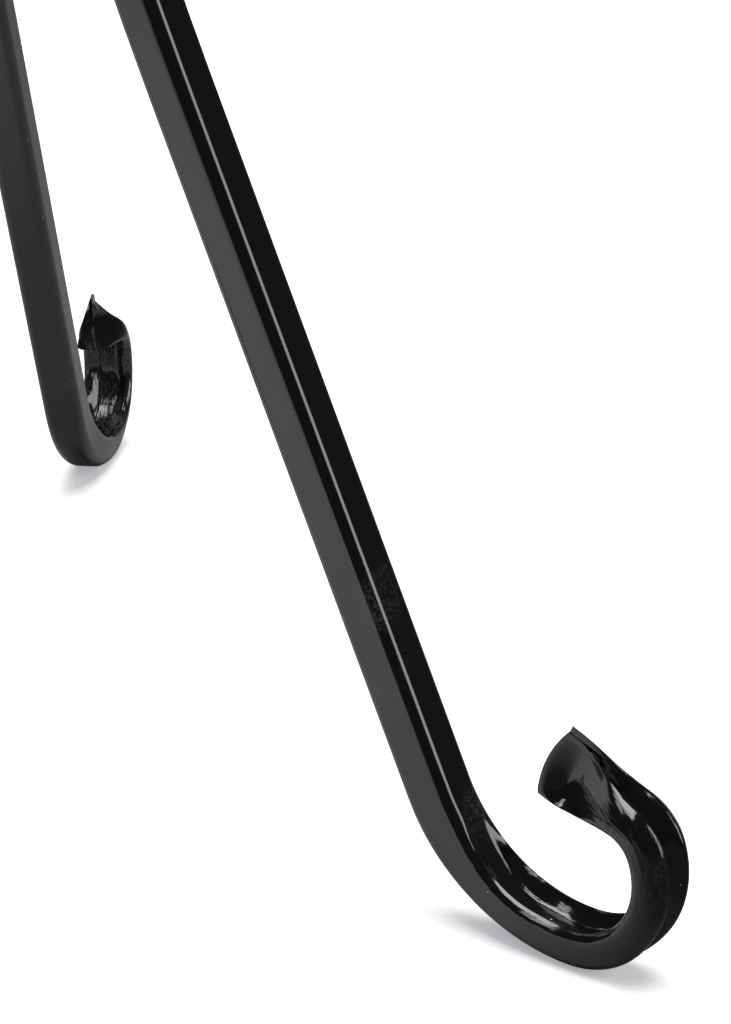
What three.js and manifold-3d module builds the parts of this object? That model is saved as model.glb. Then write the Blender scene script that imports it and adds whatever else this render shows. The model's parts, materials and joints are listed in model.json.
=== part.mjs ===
// A floor-standing frame for hanging plants. Three legs of bent square tube are screwed to
// a round pole, and three arms of the same make are screwed to it near the top. Each leg
// ends in a curled foot and each arm in a curled hook: the bend is so tight that the inner
// wall falls in, and the end of the tube is crushed flat and flared.
// Millimetres and degrees, +Z up. The origin is on the floor, at the middle of the
// rectangle that the stand takes up. The first leg points along +X.

import * as THREE from "three";
import { mergeVertices } from "three/addons/utils/BufferGeometryUtils.js";
import Module from "manifold-3d";

const wasm = await Module();
wasm.setup();

const { degToRad, smoothstep, lerp } = THREE.MathUtils;

// ---- Driving dimensions ----

// Whole stand
const standHeight = 1620;
const armCount = 3;
const legCount = 3;

// Pole
const poleDiameter = 25;
const poleWall = 1.2;
const poleTail = 32; // how far the pole runs on below the lowest leg screw

// Leg: the foot radius is from the pole's axis to the foot's lowest point, and bend
// radii are on the tube's middle line
const legTubeWidth = 16;
const legTubeWall = 1.2;
const legTubeCorner = 3.8;
const footRadius = 276;
const legLean = 25; // from upright, in the straight stretch
const legStraight = 222;
const kneeRadius = 58;
const footFlat = 6; // length of the flat under the foot, at its lowest point
const footCurlRadius = 26.6;
const footCurlTurn = 109;
const footTipBendRadius = 13.8;
const footTipBendTurn = 50;
const footTipLength = 27.6;

// Arm
const armTubeWidth = 12.7;
const armTubeWall = 1;
const armTubeCorner = 3;
const hookRadius = 245; // from the pole's axis to the hook's lowest point
const archDrop = 48; // from the top of the stand to the arch's middle line
const archRadius = 105;
const shoulderRadius = 80;
const armSlope = 58; // below level, where the arm runs down to its hook
const armFall = 30; // length of that run
const hookCurlRadius = 24;
const hookCurlTurn = 104;
const hookTipBendRadius = 14;
const hookTipBendTurn = 34;
const hookTipLength = 22;

// How the end of each tube is formed. The tip's corners are [across, inward] from the
// tube's middle line: near and far on the inner wall, the others on the outer wall.
const footForm = {
  troughDepth: 4.8, // how far the inner wall falls in
  fallFrom: -56, // heading at which it begins to fall, below level
  fallTo: -16, // heading at which it has fallen
  creaseDepth: 3.6, // how far the outer wall is drawn in, past the lowest point
  creaseFrom: 17, // heading at which that begins, above level
  creaseTo: 70, // heading at which it is deepest
  bulge: 1.2, // how far each side wall swells
  flattenFrom: 12, // heading at which the curl begins to flatten, above level
  flattenTo: 72, // heading at which it is flattest
  thinning: 0.75, // its share of the tube's thickness there
  spread: 1.12, // its share of the tube's width there
  crushLength: 24, // the stretch over which the end is crushed
  tipFlat: 3, // the end of it, which has one outline
  tipSkew: 0.1, // how far the outer wall runs on past the inner one, as a slope
  tip: { near: [-5.4, 9.6], far: [9, 9.6], nearOuter: [-4, -10.4], farOuter: [1.6, -14], bowlDepth: 2.4 },
};
const hookForm = {
  troughDepth: 3.6,
  fallFrom: -50,
  fallTo: -14,
  creaseDepth: 2.6,
  creaseFrom: 17,
  creaseTo: 70,
  bulge: 0.9,
  flattenFrom: 12,
  flattenTo: 72,
  thinning: 0.78,
  spread: 1.1,
  crushLength: 19,
  tipFlat: 2.4,
  tipSkew: 0.1,
  tip: { near: [-4.3, 7.6], far: [7.1, 7.6], nearOuter: [-3.2, -8.2], farOuter: [1.3, -11], bowlDepth: 1.8 },
};

// Screws, and the threaded inserts that they turn into
const screwDiameter = 6;
const screwHeadDiameter = 12;
const screwHeadHeight = 3.6;
const screwEngagement = 8; // how far a screw reaches past the outer face of its insert
const screwEndMargin = 22; // from a tube's end to its first screw
const legScrewSpacing = 72;
const armScrewSpacing = 54;
const insertDiameter = 9;
const insertFlangeDiameter = 11.4;
const insertFlangeThickness = 0.8;
const insertCollarDiameter = 11;
const insertCollarLength = 2.2;
const insertLength = 9;

// Plugs and finial
const plugHead = 2.6;
const plugStem = 14;
const finialBallDiameter = 32;
const finialNeckDiameter = 11;
const finialNeckHeight = 4;
const finialCollarHeight = 3;
const finialStem = 20;

// Forming that is alike on every tube, as shares of half its width
const troughReach = 0.8; // where the fallen wall meets the level edge
const wallLevel = 0.95; // outline points beyond this lie on the inner or the outer wall
const plugChamfer = 0.8;

// Numbers of flat sides that stand for round ones
const roundSides = 20;
const ballSteps = 6;
const holeSides = 10;
const fastenerSides = 8;

// Clearances
const seatGap = 0.3; // between pieces that rest on each other
const holeGap = 0.3; // round a pin or a stem in its hole

// ---- Materials ----

const enamel = new THREE.MeshStandardMaterial({ color: 0x141416, roughness: 0.22, metalness: 0.1 });
const plastic = new THREE.MeshStandardMaterial({ color: 0x18181a, roughness: 0.5, metalness: 0 });
const zinc = new THREE.MeshStandardMaterial({ color: 0xb9bcc0, roughness: 0.35, metalness: 1 });

// ---- Solids: closed geometries, joined and cut ----

function toSolid(geometry) {
  const bare = geometry.clone();
  bare.deleteAttribute("normal");
  bare.deleteAttribute("uv");
  const merged = mergeVertices(bare, 1e-4);
  return new wasm.Manifold(
    new wasm.Mesh({
      numProp: 3,
      vertProperties: merged.attributes.position.array,
      triVerts: new Uint32Array(merged.index.array),
    }),
  );
}

function toGeometry(solid) {
  const mesh = solid.getMesh();
  const geometry = new THREE.BufferGeometry();
  geometry.setAttribute("position", new THREE.BufferAttribute(mesh.vertProperties, 3));
  geometry.setIndex(new THREE.BufferAttribute(mesh.triVerts, 1));
  geometry.computeVertexNormals();
  return geometry;
}

// A skin over rings of equal numbers of points, closed at both ends. Each ring has its
// points in space and its flat outline, and runs anticlockwise seen from the next ring.
function loft(rings) {
  const count = rings[0].points.length;
  const positions = rings.flatMap((ring) => ring.points.flatMap((point) => point.toArray()));
  const indices = [];
  for (let ring = 0; ring < rings.length - 1; ring++) {
    for (let k = 0; k < count; k++) {
      const here = ring * count + k;
      const beside = ring * count + ((k + 1) % count);
      indices.push(here, beside, beside + count, here, beside + count, here + count);
    }
  }
  const last = (rings.length - 1) * count;
  for (const [a, b, c] of THREE.ShapeUtils.triangulateShape(rings[0].outline, [])) {
    indices.push(a, c, b);
  }
  for (const [a, b, c] of THREE.ShapeUtils.triangulateShape(rings.at(-1).outline, [])) {
    indices.push(last + a, last + b, last + c);
  }
  const geometry = new THREE.BufferGeometry();
  geometry.setAttribute("position", new THREE.Float32BufferAttribute(positions, 3));
  geometry.setIndex(indices);
  geometry.computeVertexNormals();
  return geometry;
}

// A turned piece whose axis runs along +X: each profile point is [distance along, radius].
function turned(profile, sides) {
  const geometry = new THREE.LatheGeometry(
    profile.map(([along, radius]) => new THREE.Vector2(radius, along)),
    sides,
  );
  return geometry.rotateZ(-Math.PI / 2);
}

// ---- Square tube ----

// A square with broken edges, anticlockwise from its inner wall: x is across the bend
// and y points into it. wallPoints are the points of the inner and outer walls and
// sidePoints those of the side walls. A rounded edge has one more point.
function squareOutline({ width, corner, wallPoints = 2, sidePoints = 2, rounded = false }) {
  const middle = new THREE.Vector2();
  const half = width / 2;
  const flat = half - corner;
  const edge = half - corner * (1 - Math.SQRT1_2);
  const outline = [];
  [wallPoints, sidePoints, wallPoints, sidePoints].forEach((count, wall) => {
    const turn = (wall * Math.PI) / 2;
    for (let k = 0; k < count; k++) {
      const across = lerp(flat, -flat, k / (count - 1));
      outline.push(new THREE.Vector2(across, half).rotateAround(middle, turn));
    }
    if (rounded) outline.push(new THREE.Vector2(-edge, edge).rotateAround(middle, turn));
  });
  return outline;
}

// The middle line of a bent tube, in a plane through the pole's axis: x is the distance
// from the axis and y the height. A move is a straight of some length, or a bend of some
// radius that turns the heading by an angle. A positive turn is anticlockwise.
function follow(start, heading, moves) {
  const stations = [{ x: start.x, y: start.y, heading, along: 0 }];
  for (const { length, radius, turn = 0, steps = 1 } of moves) {
    const stepTurn = turn / steps;
    const chord = turn ? 2 * radius * Math.sin(degToRad(Math.abs(stepTurn) / 2)) : length / steps;
    const stepLength = turn ? radius * degToRad(Math.abs(stepTurn)) : chord;
    for (let k = 0; k < steps; k++) {
      const last = stations.at(-1);
      const towards = degToRad(last.heading + stepTurn / 2);
      stations.push({
        x: last.x + chord * Math.cos(towards),
        y: last.y + chord * Math.sin(towards),
        heading: last.heading + stepTurn,
        along: last.along + stepLength,
      });
    }
  }
  return stations;
}

// Puts an outline across the tube at a station. The skew moves the outer wall on and the
// inner wall back along the tube.
function ringAt({ x, y, heading }, outline, skew = 0) {
  const sine = Math.sin(degToRad(heading));
  const cosine = Math.cos(degToRad(heading));
  const points = outline.map(({ x: across, y: inward }) => {
    const on = -skew * inward;
    return new THREE.Vector3(x + on * cosine - inward * sine, across, y + on * sine + inward * cosine);
  });
  return { points, outline };
}

// The outline of the crushed end, at a point of the tube's own outline, which runs from
// -1 to 1 across and inward: a square pulled out to four corners, with one side wall
// pressed in.
function tipPoint({ near, far, nearOuter, farOuter, bowlDepth }, across, inward) {
  const u = (1 + across) / 2;
  const v = (1 + inward) / 2;
  const mix = (k) => lerp(lerp(nearOuter[k], farOuter[k], u), lerp(near[k], far[k], u), v);
  const bowl = across < -wallLevel ? bowlDepth * (1 - inward ** 2) : 0;
  return new THREE.Vector2(mix(0) + bowl, mix(1));
}

// The tube's outline where it has been formed: fallen in at the inner wall, drawn in at
// the outer wall, swollen at the sides, flattened where it rises, and crushed at its end.
function formedOutline(outline, tube, form, { fallen, drawn, flattened, crushed }) {
  const half = tube.width / 2;
  const spread = lerp(1, form.spread, flattened);
  const thinning = lerp(1, form.thinning, flattened);
  return outline.map((point) => {
    const across = point.x / half;
    const inward = point.y / half;
    const dip = smoothstep(1 - Math.abs(across) / troughReach, 0, 1);
    const swell = across * (1 - inward ** 2) * form.bulge * fallen;
    const trough = inward > wallLevel ? form.troughDepth * fallen * dip : 0;
    const crease = inward < -wallLevel ? form.creaseDepth * drawn * dip : 0;
    const formed = new THREE.Vector2((point.x + swell) * spread, (point.y - trough + crease) * thinning);
    return formed.lerp(tipPoint(form.tip, across, inward), crushed);
  });
}

// A tube with one end open and the other curled up and crushed. The first moves leave
// the tube whole. Then the knee brings it level at its lowest point, and the curl turns it up.
function curledTube(tube, start, heading, wholeMoves, knee, curlMoves, form) {
  const stations = follow(start, heading, [...wholeMoves, knee, ...curlMoves]);
  const kneeStart = follow(start, heading, wholeMoves).at(-1).along;
  const end = stations.at(-1).along;
  const whole = squareOutline({ ...tube, wallPoints: 5, sidePoints: 3, rounded: true });
  const rings = stations.map((station) => {
    const { heading: level, along } = station;
    const curling = along > kneeStart;
    const crushed = smoothstep(along, end - form.crushLength, end - form.tipFlat);
    const outline = formedOutline(whole, tube, form, {
      fallen: curling ? smoothstep(level, form.fallFrom, form.fallTo) : 0,
      drawn: curling ? smoothstep(level, form.creaseFrom, form.creaseTo) : 0,
      flattened: curling ? smoothstep(level, form.flattenFrom, form.flattenTo) : 0,
      crushed,
    });
    return ringAt(station, outline, form.tipSkew * crushed);
  });
  const bore = squareOutline({ width: tube.width - 2 * tube.wall, corner: tube.corner - tube.wall });
  const [mouth] = follow(start, heading, [{ length: -1 }]).slice(-1);
  const boreStations = [mouth, ...stations.filter(({ along }) => along < kneeStart + 0.001)];
  const boreRings = boreStations.map((station) => ringAt(station, bore));
  return toSolid(loft(rings)).subtract(toSolid(loft(boreRings)));
}

// ---- Screwed seats on the pole ----

const poleRadius = poleDiameter / 2;
const poleBore = poleRadius - poleWall;
const screwRadius = screwDiameter / 2;
const insertFace = poleRadius + seatGap + insertFlangeThickness; // outer face of an insert

// Distance from the pole's axis to the middle of a tube that lies on the inserts
const seatRadius = (tube) => insertFace + seatGap + tube.width / 2;

// A round cutter along +X, at a height, between two distances from the pole's axis
function crossCutter(radius, from, to, height) {
  const cutter = new THREE.CylinderGeometry(radius, radius, to - from, holeSides);
  cutter.rotateZ(Math.PI / 2);
  cutter.translate((from + to) / 2, 0, height);
  return toSolid(cutter);
}

// Drills a tube through both walls at each of its screws.
function drillSeat(solid, tube, heights) {
  const middle = seatRadius(tube);
  for (const height of heights) {
    const cutter = crossCutter(screwRadius + holeGap, middle - tube.width, middle + tube.width, height);
    solid = solid.subtract(cutter);
  }
  return solid;
}

function screwGeometry(tube) {
  const tip = insertFace - screwEngagement;
  const underHead = seatRadius(tube) + tube.width / 2 + seatGap;
  const headRadius = screwHeadDiameter / 2;
  return turned(
    [
      [tip, 0],
      [tip, screwRadius],
      [underHead, screwRadius],
      [underHead, headRadius],
      [underHead + 0.4 * screwHeadHeight, 0.94 * headRadius],
      [underHead + 0.85 * screwHeadHeight, 0.5 * headRadius],
      [underHead + screwHeadHeight, 0],
    ],
    fastenerSides,
  );
}

// A flanged insert that grips the pole's wall between its flange and its collar.
function insertGeometry() {
  const inner = insertFace - insertLength;
  const bore = screwRadius + holeGap;
  const body = insertDiameter / 2;
  const collar = insertCollarDiameter / 2;
  const flange = insertFlangeDiameter / 2;
  const collarFace = Math.sqrt(poleBore ** 2 - collar ** 2) - seatGap;
  const underFlange = insertFace - insertFlangeThickness;
  return turned(
    [
      [inner, bore],
      [inner, body],
      [collarFace - insertCollarLength, body],
      [collarFace - insertCollarLength, collar],
      [collarFace, collar],
      [collarFace, body],
      [underFlange, body],
      [underFlange, flange],
      [insertFace, flange],
      [insertFace, bore],
      [inner, bore],
    ],
    fastenerSides,
  );
}

// ---- Leg ----

const legTube = { width: legTubeWidth, wall: legTubeWall, corner: legTubeCorner };
const legSeatRadius = seatRadius(legTube);
const legSeatLength = 2 * screwEndMargin + legScrewSpacing;

// The bow takes up what the straight and the knee leave of the way out to the foot.
const kneeReach = kneeRadius * Math.cos(degToRad(legLean));
const straightReach = legStraight * Math.sin(degToRad(legLean));
const bowReach = footRadius - footFlat / 2 - kneeReach - straightReach - legSeatRadius;
const bowRadius = bowReach / (1 - Math.cos(degToRad(legLean)));

const legWhole = [
  { length: legSeatLength },
  { radius: bowRadius, turn: legLean, steps: 6 },
  { length: legStraight },
];
const legKnee = { radius: kneeRadius, turn: 90 - legLean, steps: 8 };
const footCurl = [
  { length: footFlat },
  { radius: footCurlRadius, turn: footCurlTurn, steps: 9 },
  { radius: footTipBendRadius, turn: footTipBendTurn, steps: 4 },
  { length: footTipLength, steps: 3 },
];
const straightDown = -90;
const legDrop = -follow({ x: 0, y: 0 }, straightDown, [...legWhole, legKnee]).at(-1).y;
const legTop = legDrop + legTubeWidth / 2;
const legScrewHeights = [legTop - screwEndMargin, legTop - screwEndMargin - legScrewSpacing];

function legSolid() {
  const start = { x: legSeatRadius, y: legTop };
  const leg = curledTube(legTube, start, straightDown, legWhole, legKnee, footCurl, footForm);
  return drillSeat(leg, legTube, legScrewHeights);
}

// ---- Arm ----

const armTube = { width: armTubeWidth, wall: armTubeWall, corner: armTubeCorner };
const armSeatRadius = seatRadius(armTube);
const armSeatLength = 2 * screwEndMargin + armScrewSpacing;
const armFoot = standHeight - archDrop - archRadius - armSeatLength;
const armScrewHeights = [armFoot + screwEndMargin, armFoot + screwEndMargin + armScrewSpacing];

// The level run takes up what the bends leave of the way out to the hook.
const slopeSine = Math.sin(degToRad(armSlope));
const fallReach = armFall * Math.cos(degToRad(armSlope));
const bendsReach = archRadius + (shoulderRadius + hookCurlRadius) * slopeSine;
const levelRun = hookRadius - armSeatRadius - bendsReach - fallReach;

const armWhole = [
  { length: armSeatLength },
  { radius: archRadius, turn: -90, steps: 6 },
  { length: levelRun },
  { radius: shoulderRadius, turn: -armSlope, steps: 3 },
  { length: armFall },
];
const hookKnee = { radius: hookCurlRadius, turn: armSlope, steps: 4 };
const hookCurl = [
  { radius: hookCurlRadius, turn: hookCurlTurn, steps: 6 },
  { radius: hookTipBendRadius, turn: hookTipBendTurn, steps: 3 },
  { length: hookTipLength, steps: 3 },
];
const straightUp = 90;

function armSolid() {
  const start = { x: armSeatRadius, y: armFoot };
  const arm = curledTube(armTube, start, straightUp, armWhole, hookKnee, hookCurl, hookForm);
  return drillSeat(arm, armTube, armScrewHeights);
}

// ---- Pole, finial and plugs ----

const ballRadius = finialBallDiameter / 2;
const neckRadius = finialNeckDiameter / 2;
const ballMiddle = Math.sqrt(ballRadius ** 2 - neckRadius ** 2); // above the neck
const finialHeight = seatGap + finialCollarHeight + finialNeckHeight + ballMiddle + ballRadius;
const poleTop = standHeight - finialHeight;
const poleFoot = Math.min(...legScrewHeights) - poleTail;
const stemRadius = poleBore - holeGap;

// A pole with a hole for each insert
function poleGeometry() {
  const profile = [
    [poleFoot, poleBore],
    [poleFoot, poleRadius],
    [poleTop, poleRadius],
    [poleTop, poleBore],
    [poleFoot, poleBore],
  ];
  let pole = toSolid(turned(profile, roundSides).rotateY(-Math.PI / 2));
  const drill = (count, heights) => {
    for (let k = 0; k < count; k++) {
      for (const height of heights) {
        const cutter = crossCutter(insertDiameter / 2 + holeGap, poleBore / 2, poleDiameter, height);
        pole = pole.subtract(cutter.rotate([0, 0, (360 * k) / count]));
      }
    }
  };
  drill(legCount, legScrewHeights);
  drill(armCount, armScrewHeights);
  return toGeometry(pole);
}

// A ball on a neck and a collar, with a stem down the pole's bore
function finialGeometry() {
  const collarFoot = poleTop + seatGap;
  const neckFoot = collarFoot + finialCollarHeight;
  const middle = neckFoot + finialNeckHeight + ballMiddle;
  const neckAngle = Math.asin(neckRadius / ballRadius);
  const profile = [
    [poleTop - finialStem, 0],
    [poleTop - finialStem, stemRadius],
    [collarFoot, stemRadius],
    [collarFoot, poleRadius],
    [neckFoot, poleRadius],
    [neckFoot, neckRadius],
  ];
  for (let k = 0; k <= ballSteps; k++) {
    const angle = lerp(neckAngle, Math.PI, k / ballSteps);
    profile.push([middle - ballRadius * Math.cos(angle), ballRadius * Math.sin(angle)]);
  }
  profile.at(-1)[1] = 0;
  return turned(profile, roundSides).rotateY(-Math.PI / 2);
}

function poleEndPlugGeometry() {
  const profile = [
    [poleFoot - seatGap - plugHead, 0],
    [poleFoot - seatGap - plugHead, poleRadius - plugChamfer],
    [poleFoot - seatGap - plugHead + plugChamfer, poleRadius],
    [poleFoot - seatGap, poleRadius],
    [poleFoot - seatGap, stemRadius],
    [poleFoot + plugStem, stemRadius],
    [poleFoot + plugStem, 0],
  ];
  return turned(profile, roundSides).rotateY(-Math.PI / 2);
}

// A square plug whose stem goes down into a tube's open end, from z = 0
function squarePlugGeometry(tube) {
  const stemWidth = tube.width - 2 * (tube.wall + holeGap);
  const stemCorner = tube.corner - tube.wall;
  const levels = [
    [-plugStem, stemWidth, stemCorner],
    [seatGap, stemWidth, stemCorner],
    [seatGap, tube.width, tube.corner],
    [seatGap + plugHead - plugChamfer, tube.width, tube.corner],
    [seatGap + plugHead, tube.width - 2 * plugChamfer, tube.corner],
  ];
  const rings = levels.map(([height, width, corner]) => {
    const outline = squareOutline({ width, corner });
    return { outline, points: outline.map(({ x, y }) => new THREE.Vector3(x, y, height)) };
  });
  return loft(rings);
}

// ---- Assembly ----

function piece(name, geometry, material, x = 0, z = 0) {
  const mesh = new THREE.Mesh(geometry, material);
  mesh.name = name;
  mesh.position.set(x, 0, z);
  return mesh;
}

// The pieces of one leg or arm, in a group that is turned about the pole's axis
function seatGroup(name, turn, tube, tubeGeometry, plug, screwHeights) {
  const group = new THREE.Group();
  group.rotation.z = turn;
  group.add(piece(name, tubeGeometry, enamel), plug);
  screwHeights.forEach((height, k) => {
    const place = ["a", "b"][k];
    group.add(piece(name + "_screw_" + place, screwGeometry(tube), enamel, 0, height));
    group.add(piece(name + "_insert_" + place, insertGeometry(), zinc, 0, height));
  });
  return group;
}

const stand = new THREE.Group();
stand.add(piece("pole", poleGeometry(), enamel));
stand.add(piece("pole_end_plug", poleEndPlugGeometry(), plastic));
stand.add(piece("finial", finialGeometry(), enamel));

const legGeometry = toGeometry(legSolid());
for (let k = 0; k < legCount; k++) {
  const name = "leg_" + (k + 1);
  const plug = piece(name + "_plug", squarePlugGeometry(legTube), plastic, legSeatRadius, legTop);
  const turn = (2 * Math.PI * k) / legCount;
  stand.add(seatGroup(name, turn, legTube, legGeometry, plug, legScrewHeights));
}

const armGeometry = toGeometry(armSolid());
for (let k = 0; k < armCount; k++) {
  const name = "arm_" + (k + 1);
  const plug = piece(name + "_plug", squarePlugGeometry(armTube), plastic, armSeatRadius, armFoot);
  plug.rotation.x = Math.PI;
  const turn = (2 * Math.PI * k) / armCount;
  stand.add(seatGroup(name, turn, armTube, armGeometry, plug, armScrewHeights));
}

// Three legs reach further on one side of the pole than on the other.
const footprint = new THREE.Box3().setFromObject(stand, true).getCenter(new THREE.Vector3());
stand.position.set(-footprint.x, -footprint.y, 0);

const part = new THREE.Group();
part.add(stand);

export default part;
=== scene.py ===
"""A floor stand for hanging plants, in gloss black enamel: three legs and three arms of
bent square tube, screwed to a round pole with a ball finial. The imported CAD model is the
frame, which gives seats, heights and widths. The legs' and arms' paths and the forms of
their ends come from the dimensions below. Metres, +Z up."""

import json
import math

import bpy
import numpy as np
from mathutils import Matrix, Vector


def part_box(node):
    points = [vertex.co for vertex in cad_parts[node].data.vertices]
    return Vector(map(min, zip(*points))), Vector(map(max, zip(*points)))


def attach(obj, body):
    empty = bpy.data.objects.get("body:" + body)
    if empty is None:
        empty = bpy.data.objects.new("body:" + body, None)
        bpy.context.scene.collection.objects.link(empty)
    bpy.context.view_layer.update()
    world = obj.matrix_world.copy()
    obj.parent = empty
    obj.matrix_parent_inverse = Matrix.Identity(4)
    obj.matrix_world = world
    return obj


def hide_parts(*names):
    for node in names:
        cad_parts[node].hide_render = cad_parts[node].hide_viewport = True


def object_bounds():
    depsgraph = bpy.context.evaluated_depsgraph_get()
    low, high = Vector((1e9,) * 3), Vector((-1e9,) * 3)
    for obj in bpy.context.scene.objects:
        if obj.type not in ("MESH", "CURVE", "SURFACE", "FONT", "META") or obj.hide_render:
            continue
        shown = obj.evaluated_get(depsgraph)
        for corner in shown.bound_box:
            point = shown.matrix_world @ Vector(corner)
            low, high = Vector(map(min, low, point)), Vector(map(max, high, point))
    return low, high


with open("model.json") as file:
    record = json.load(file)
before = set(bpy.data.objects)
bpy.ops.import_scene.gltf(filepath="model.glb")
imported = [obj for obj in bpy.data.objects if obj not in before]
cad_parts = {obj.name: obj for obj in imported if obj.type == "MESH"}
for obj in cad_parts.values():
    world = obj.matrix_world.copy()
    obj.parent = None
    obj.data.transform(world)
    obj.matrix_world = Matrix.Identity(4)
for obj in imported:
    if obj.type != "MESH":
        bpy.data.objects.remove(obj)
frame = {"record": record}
cad_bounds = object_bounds()
scene = bpy.context.scene
mounts = {mount["name"]: mount for mount in frame["record"]["mounts"]}

# ---- Sizes and places that the frame gives ----


def middle(node):
    low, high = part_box(node)
    return (low + high) / 2


def extent(node):
    low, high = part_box(node)
    return high - low


TUBE_NAMES = {kind: [f"{kind}_{k}" for k in (1, 2, 3)] for kind in ("leg", "arm")}
FOOT = Vector(mounts["foot_1"]["pos_m"])
POLE_LOW, POLE_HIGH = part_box("pole")
POLE_AXIS = middle("pole").xy
POLE_RADIUS = extent("pole").x / 2
STAND_HEIGHT = cad_bounds[1].z
LEG_WIDTH = extent("leg_1_plug").y
ARM_WIDTH = extent("arm_1_plug").y
LEG_SEAT = middle("leg_1_plug").x - POLE_AXIS.x
ARM_SEAT = middle("arm_1_plug").x - POLE_AXIS.x
LEG_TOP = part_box("leg_1")[1].z
ARM_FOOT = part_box("arm_1")[0].z
FOOT_RADIUS = FOOT.x - POLE_AXIS.x

# ---- Driving dimensions of the bends and the formed ends ----

COPIES = 3
LEG_SEAT_LENGTH = 0.116
LEG_LEAN = math.radians(25.33)
LEG_STRAIGHT = 0.2224
KNEE_RADIUS = 0.0576
FOOT_CURL = (0.0266, math.radians(108.9))
FOOT_TIP_BEND = (0.0146, math.radians(52.6))
FOOT_TIP = (0.0265, math.radians(-4.7))

ARM_SEAT_LENGTH = 0.098
HOOK_RADIUS = 0.245
ARCH_RADIUS = 0.105
SHOULDER_RADIUS = 0.08
ARM_SLOPE = math.radians(58)
ARM_FALL = 0.03
HOOK_CURL = (0.024, math.radians(104))
HOOK_TIP_BEND = (0.014, math.radians(34))
HOOK_TIP = 0.022

# Levels are the tube's heading over the floor, in degrees; points are across and inward.
FOOT_FORM = {
    "corner": 0.0038,
    "trough": 0.0056,
    "trough_rim": 0.84,
    "trough_floor": 0.3,
    "fall": (-56, -16),
    "sag": 0.114,
    "taper": 0.171,
    "crease": 0.0052,
    "draw": (17, 70),
    "bulge": 0.0015,
    "flatten": (-1, 59),
    "thinning": 0.776,
    "spread": 1.068,
    "crush_length": 0.0306,
    "tip_flat": 0.0032,
    "tip_skew": 0.018,
    "tip_arc": 0.0026,
    "near": (-0.0046, 0.0114),
    "far": (0.0042, 0.0098),
    "near_outer": (-0.0013, -0.0112),
    "far_outer": (-0.0009, -0.0142),
    "bowl": 0.0046,
    "bowl_end": 0.009,
}
HOOK_FORM = {
    "corner": 0.003,
    "trough": 0.004,
    "trough_rim": 0.84,
    "trough_floor": 0.3,
    "fall": (-50, -14),
    "sag": 0.08,
    "taper": 0.12,
    "crease": 0.0034,
    "draw": (17, 70),
    "bulge": 0.0009,
    "flatten": (12, 72),
    "thinning": 0.8,
    "spread": 1.06,
    "crush_length": 0.024,
    "tip_flat": 0.0024,
    "tip_skew": 0.08,
    "tip_arc": 0.0022,
    "near": (-0.0041, 0.008),
    "far": (0.0052, 0.0084),
    "near_outer": (-0.0012, -0.0092),
    "far_outer": (0.0004, -0.0112),
    "bowl": 0.0038,
    "bowl_end": 0.007,
}

# How far the trough wanders across the tube, as a share of half its width, and how often
WANDER = (0.05, 0.027)

# Shares of half the tube's width: where a wall begins and is whole, where the bowl does on
# the near side wall, how far the crease reaches across, and how far the lip's arc reaches
WALL_EDGE = (0.9, 0.98)
BOWL_EDGE = (0.6, 0.98)
FOLD_REACH = 0.72
ARC_REACH = 1.5
CREASE_LOSS = 0.45  # the share of the crease that the crushed end loses
WRINKLE_LOSS = 0.8  # the share of the wrinkles that the crushed end loses
TIP_CORNER = 0.5  # the crushed end's corner, as a share of the tube's

# How finely the skins are divided
TUBE_POINTS = (27, 15, 7)  # on an inner or outer wall, on a side wall, round a corner
PLUG_POINTS = (3, 3, 6)
LEG_STEP = 0.02
ARM_STEP = 0.012
CURL_STEP = 0.001
TURN_STEP = math.radians(4)
TURNED_SIDES = 72
SMOOTH_ANGLE = math.radians(35)
SHANK_SIDES = 24
SOCKET_SIDES = 6
INSERT_SIDES = 32
DOME_SEGMENTS, DOME_RINGS = 32, 16

# Turned pieces, plugs and fastenings
POLE_WALL = 0.0012
SEAT_GAP = 0.0003
EDGE_ROUND = 0.0007
PLUG_HEAD = 0.0026
PLUG_STEM = 0.014
FINIAL_BALL = 0.016
FINIAL_NECK = 0.0055
FINIAL_COLLAR = 0.003
LEG_CORNER = FOOT_FORM["corner"]
ARM_CORNER = HOOK_FORM["corner"]
SCREW_SIZES = {
    "Head Radius": 0.006,
    "Head Height": 0.0036,
    "Socket Radius": 0.0024,
    "Socket Depth": 0.0021,
    "Shank Radius": 0.0029,
}
INSERT_SIZES = {
    "Body Radius": 0.0044,
    "Flange Radius": 0.0057,
    "Flange Thickness": 0.0008,
    "Bore Radius": 0.0033,
    "Length": 0.009,
}

# ---- Meshes ----


def smoothstep(value, low, high):
    t = np.clip((value - low) / (high - low), 0, 1)
    return t * t * (3 - 2 * t)


def add_object(name, points, faces, material):
    """A mesh object at the origin, shaded smooth, with its edges sharp past an angle."""
    mesh = bpy.data.meshes.new(name)
    mesh.from_pydata([tuple(point) for point in points], [], faces)
    mesh.update()
    mesh.materials.append(material)
    piece = bpy.data.objects.new(name, mesh)
    scene.collection.objects.link(piece)
    mesh.shade_smooth()
    mesh.set_sharp_from_angle(angle=SMOOTH_ANGLE)
    return piece


def skin(rings):
    """Points and faces over rings of equal numbers of points, closed by a fan at each end.
    Each ring runs anticlockwise seen from the next one."""
    rings = np.asarray(rings)
    total, count = rings.shape[:2]
    points = np.concatenate([rings.reshape(-1, 3), rings[0].mean(0)[None], rings[-1].mean(0)[None]])
    faces = []
    for ring in range(total - 1):
        for k in range(count):
            here, beside = ring * count + k, ring * count + (k + 1) % count
            faces.append((here, beside, beside + count, here + count))
    first, last = total * count, total * count + 1
    top = (total - 1) * count
    for k in range(count):
        faces.append((first, (k + 1) % count, k))
        faces.append((last, top + k, top + (k + 1) % count))
    return points, faces


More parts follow.
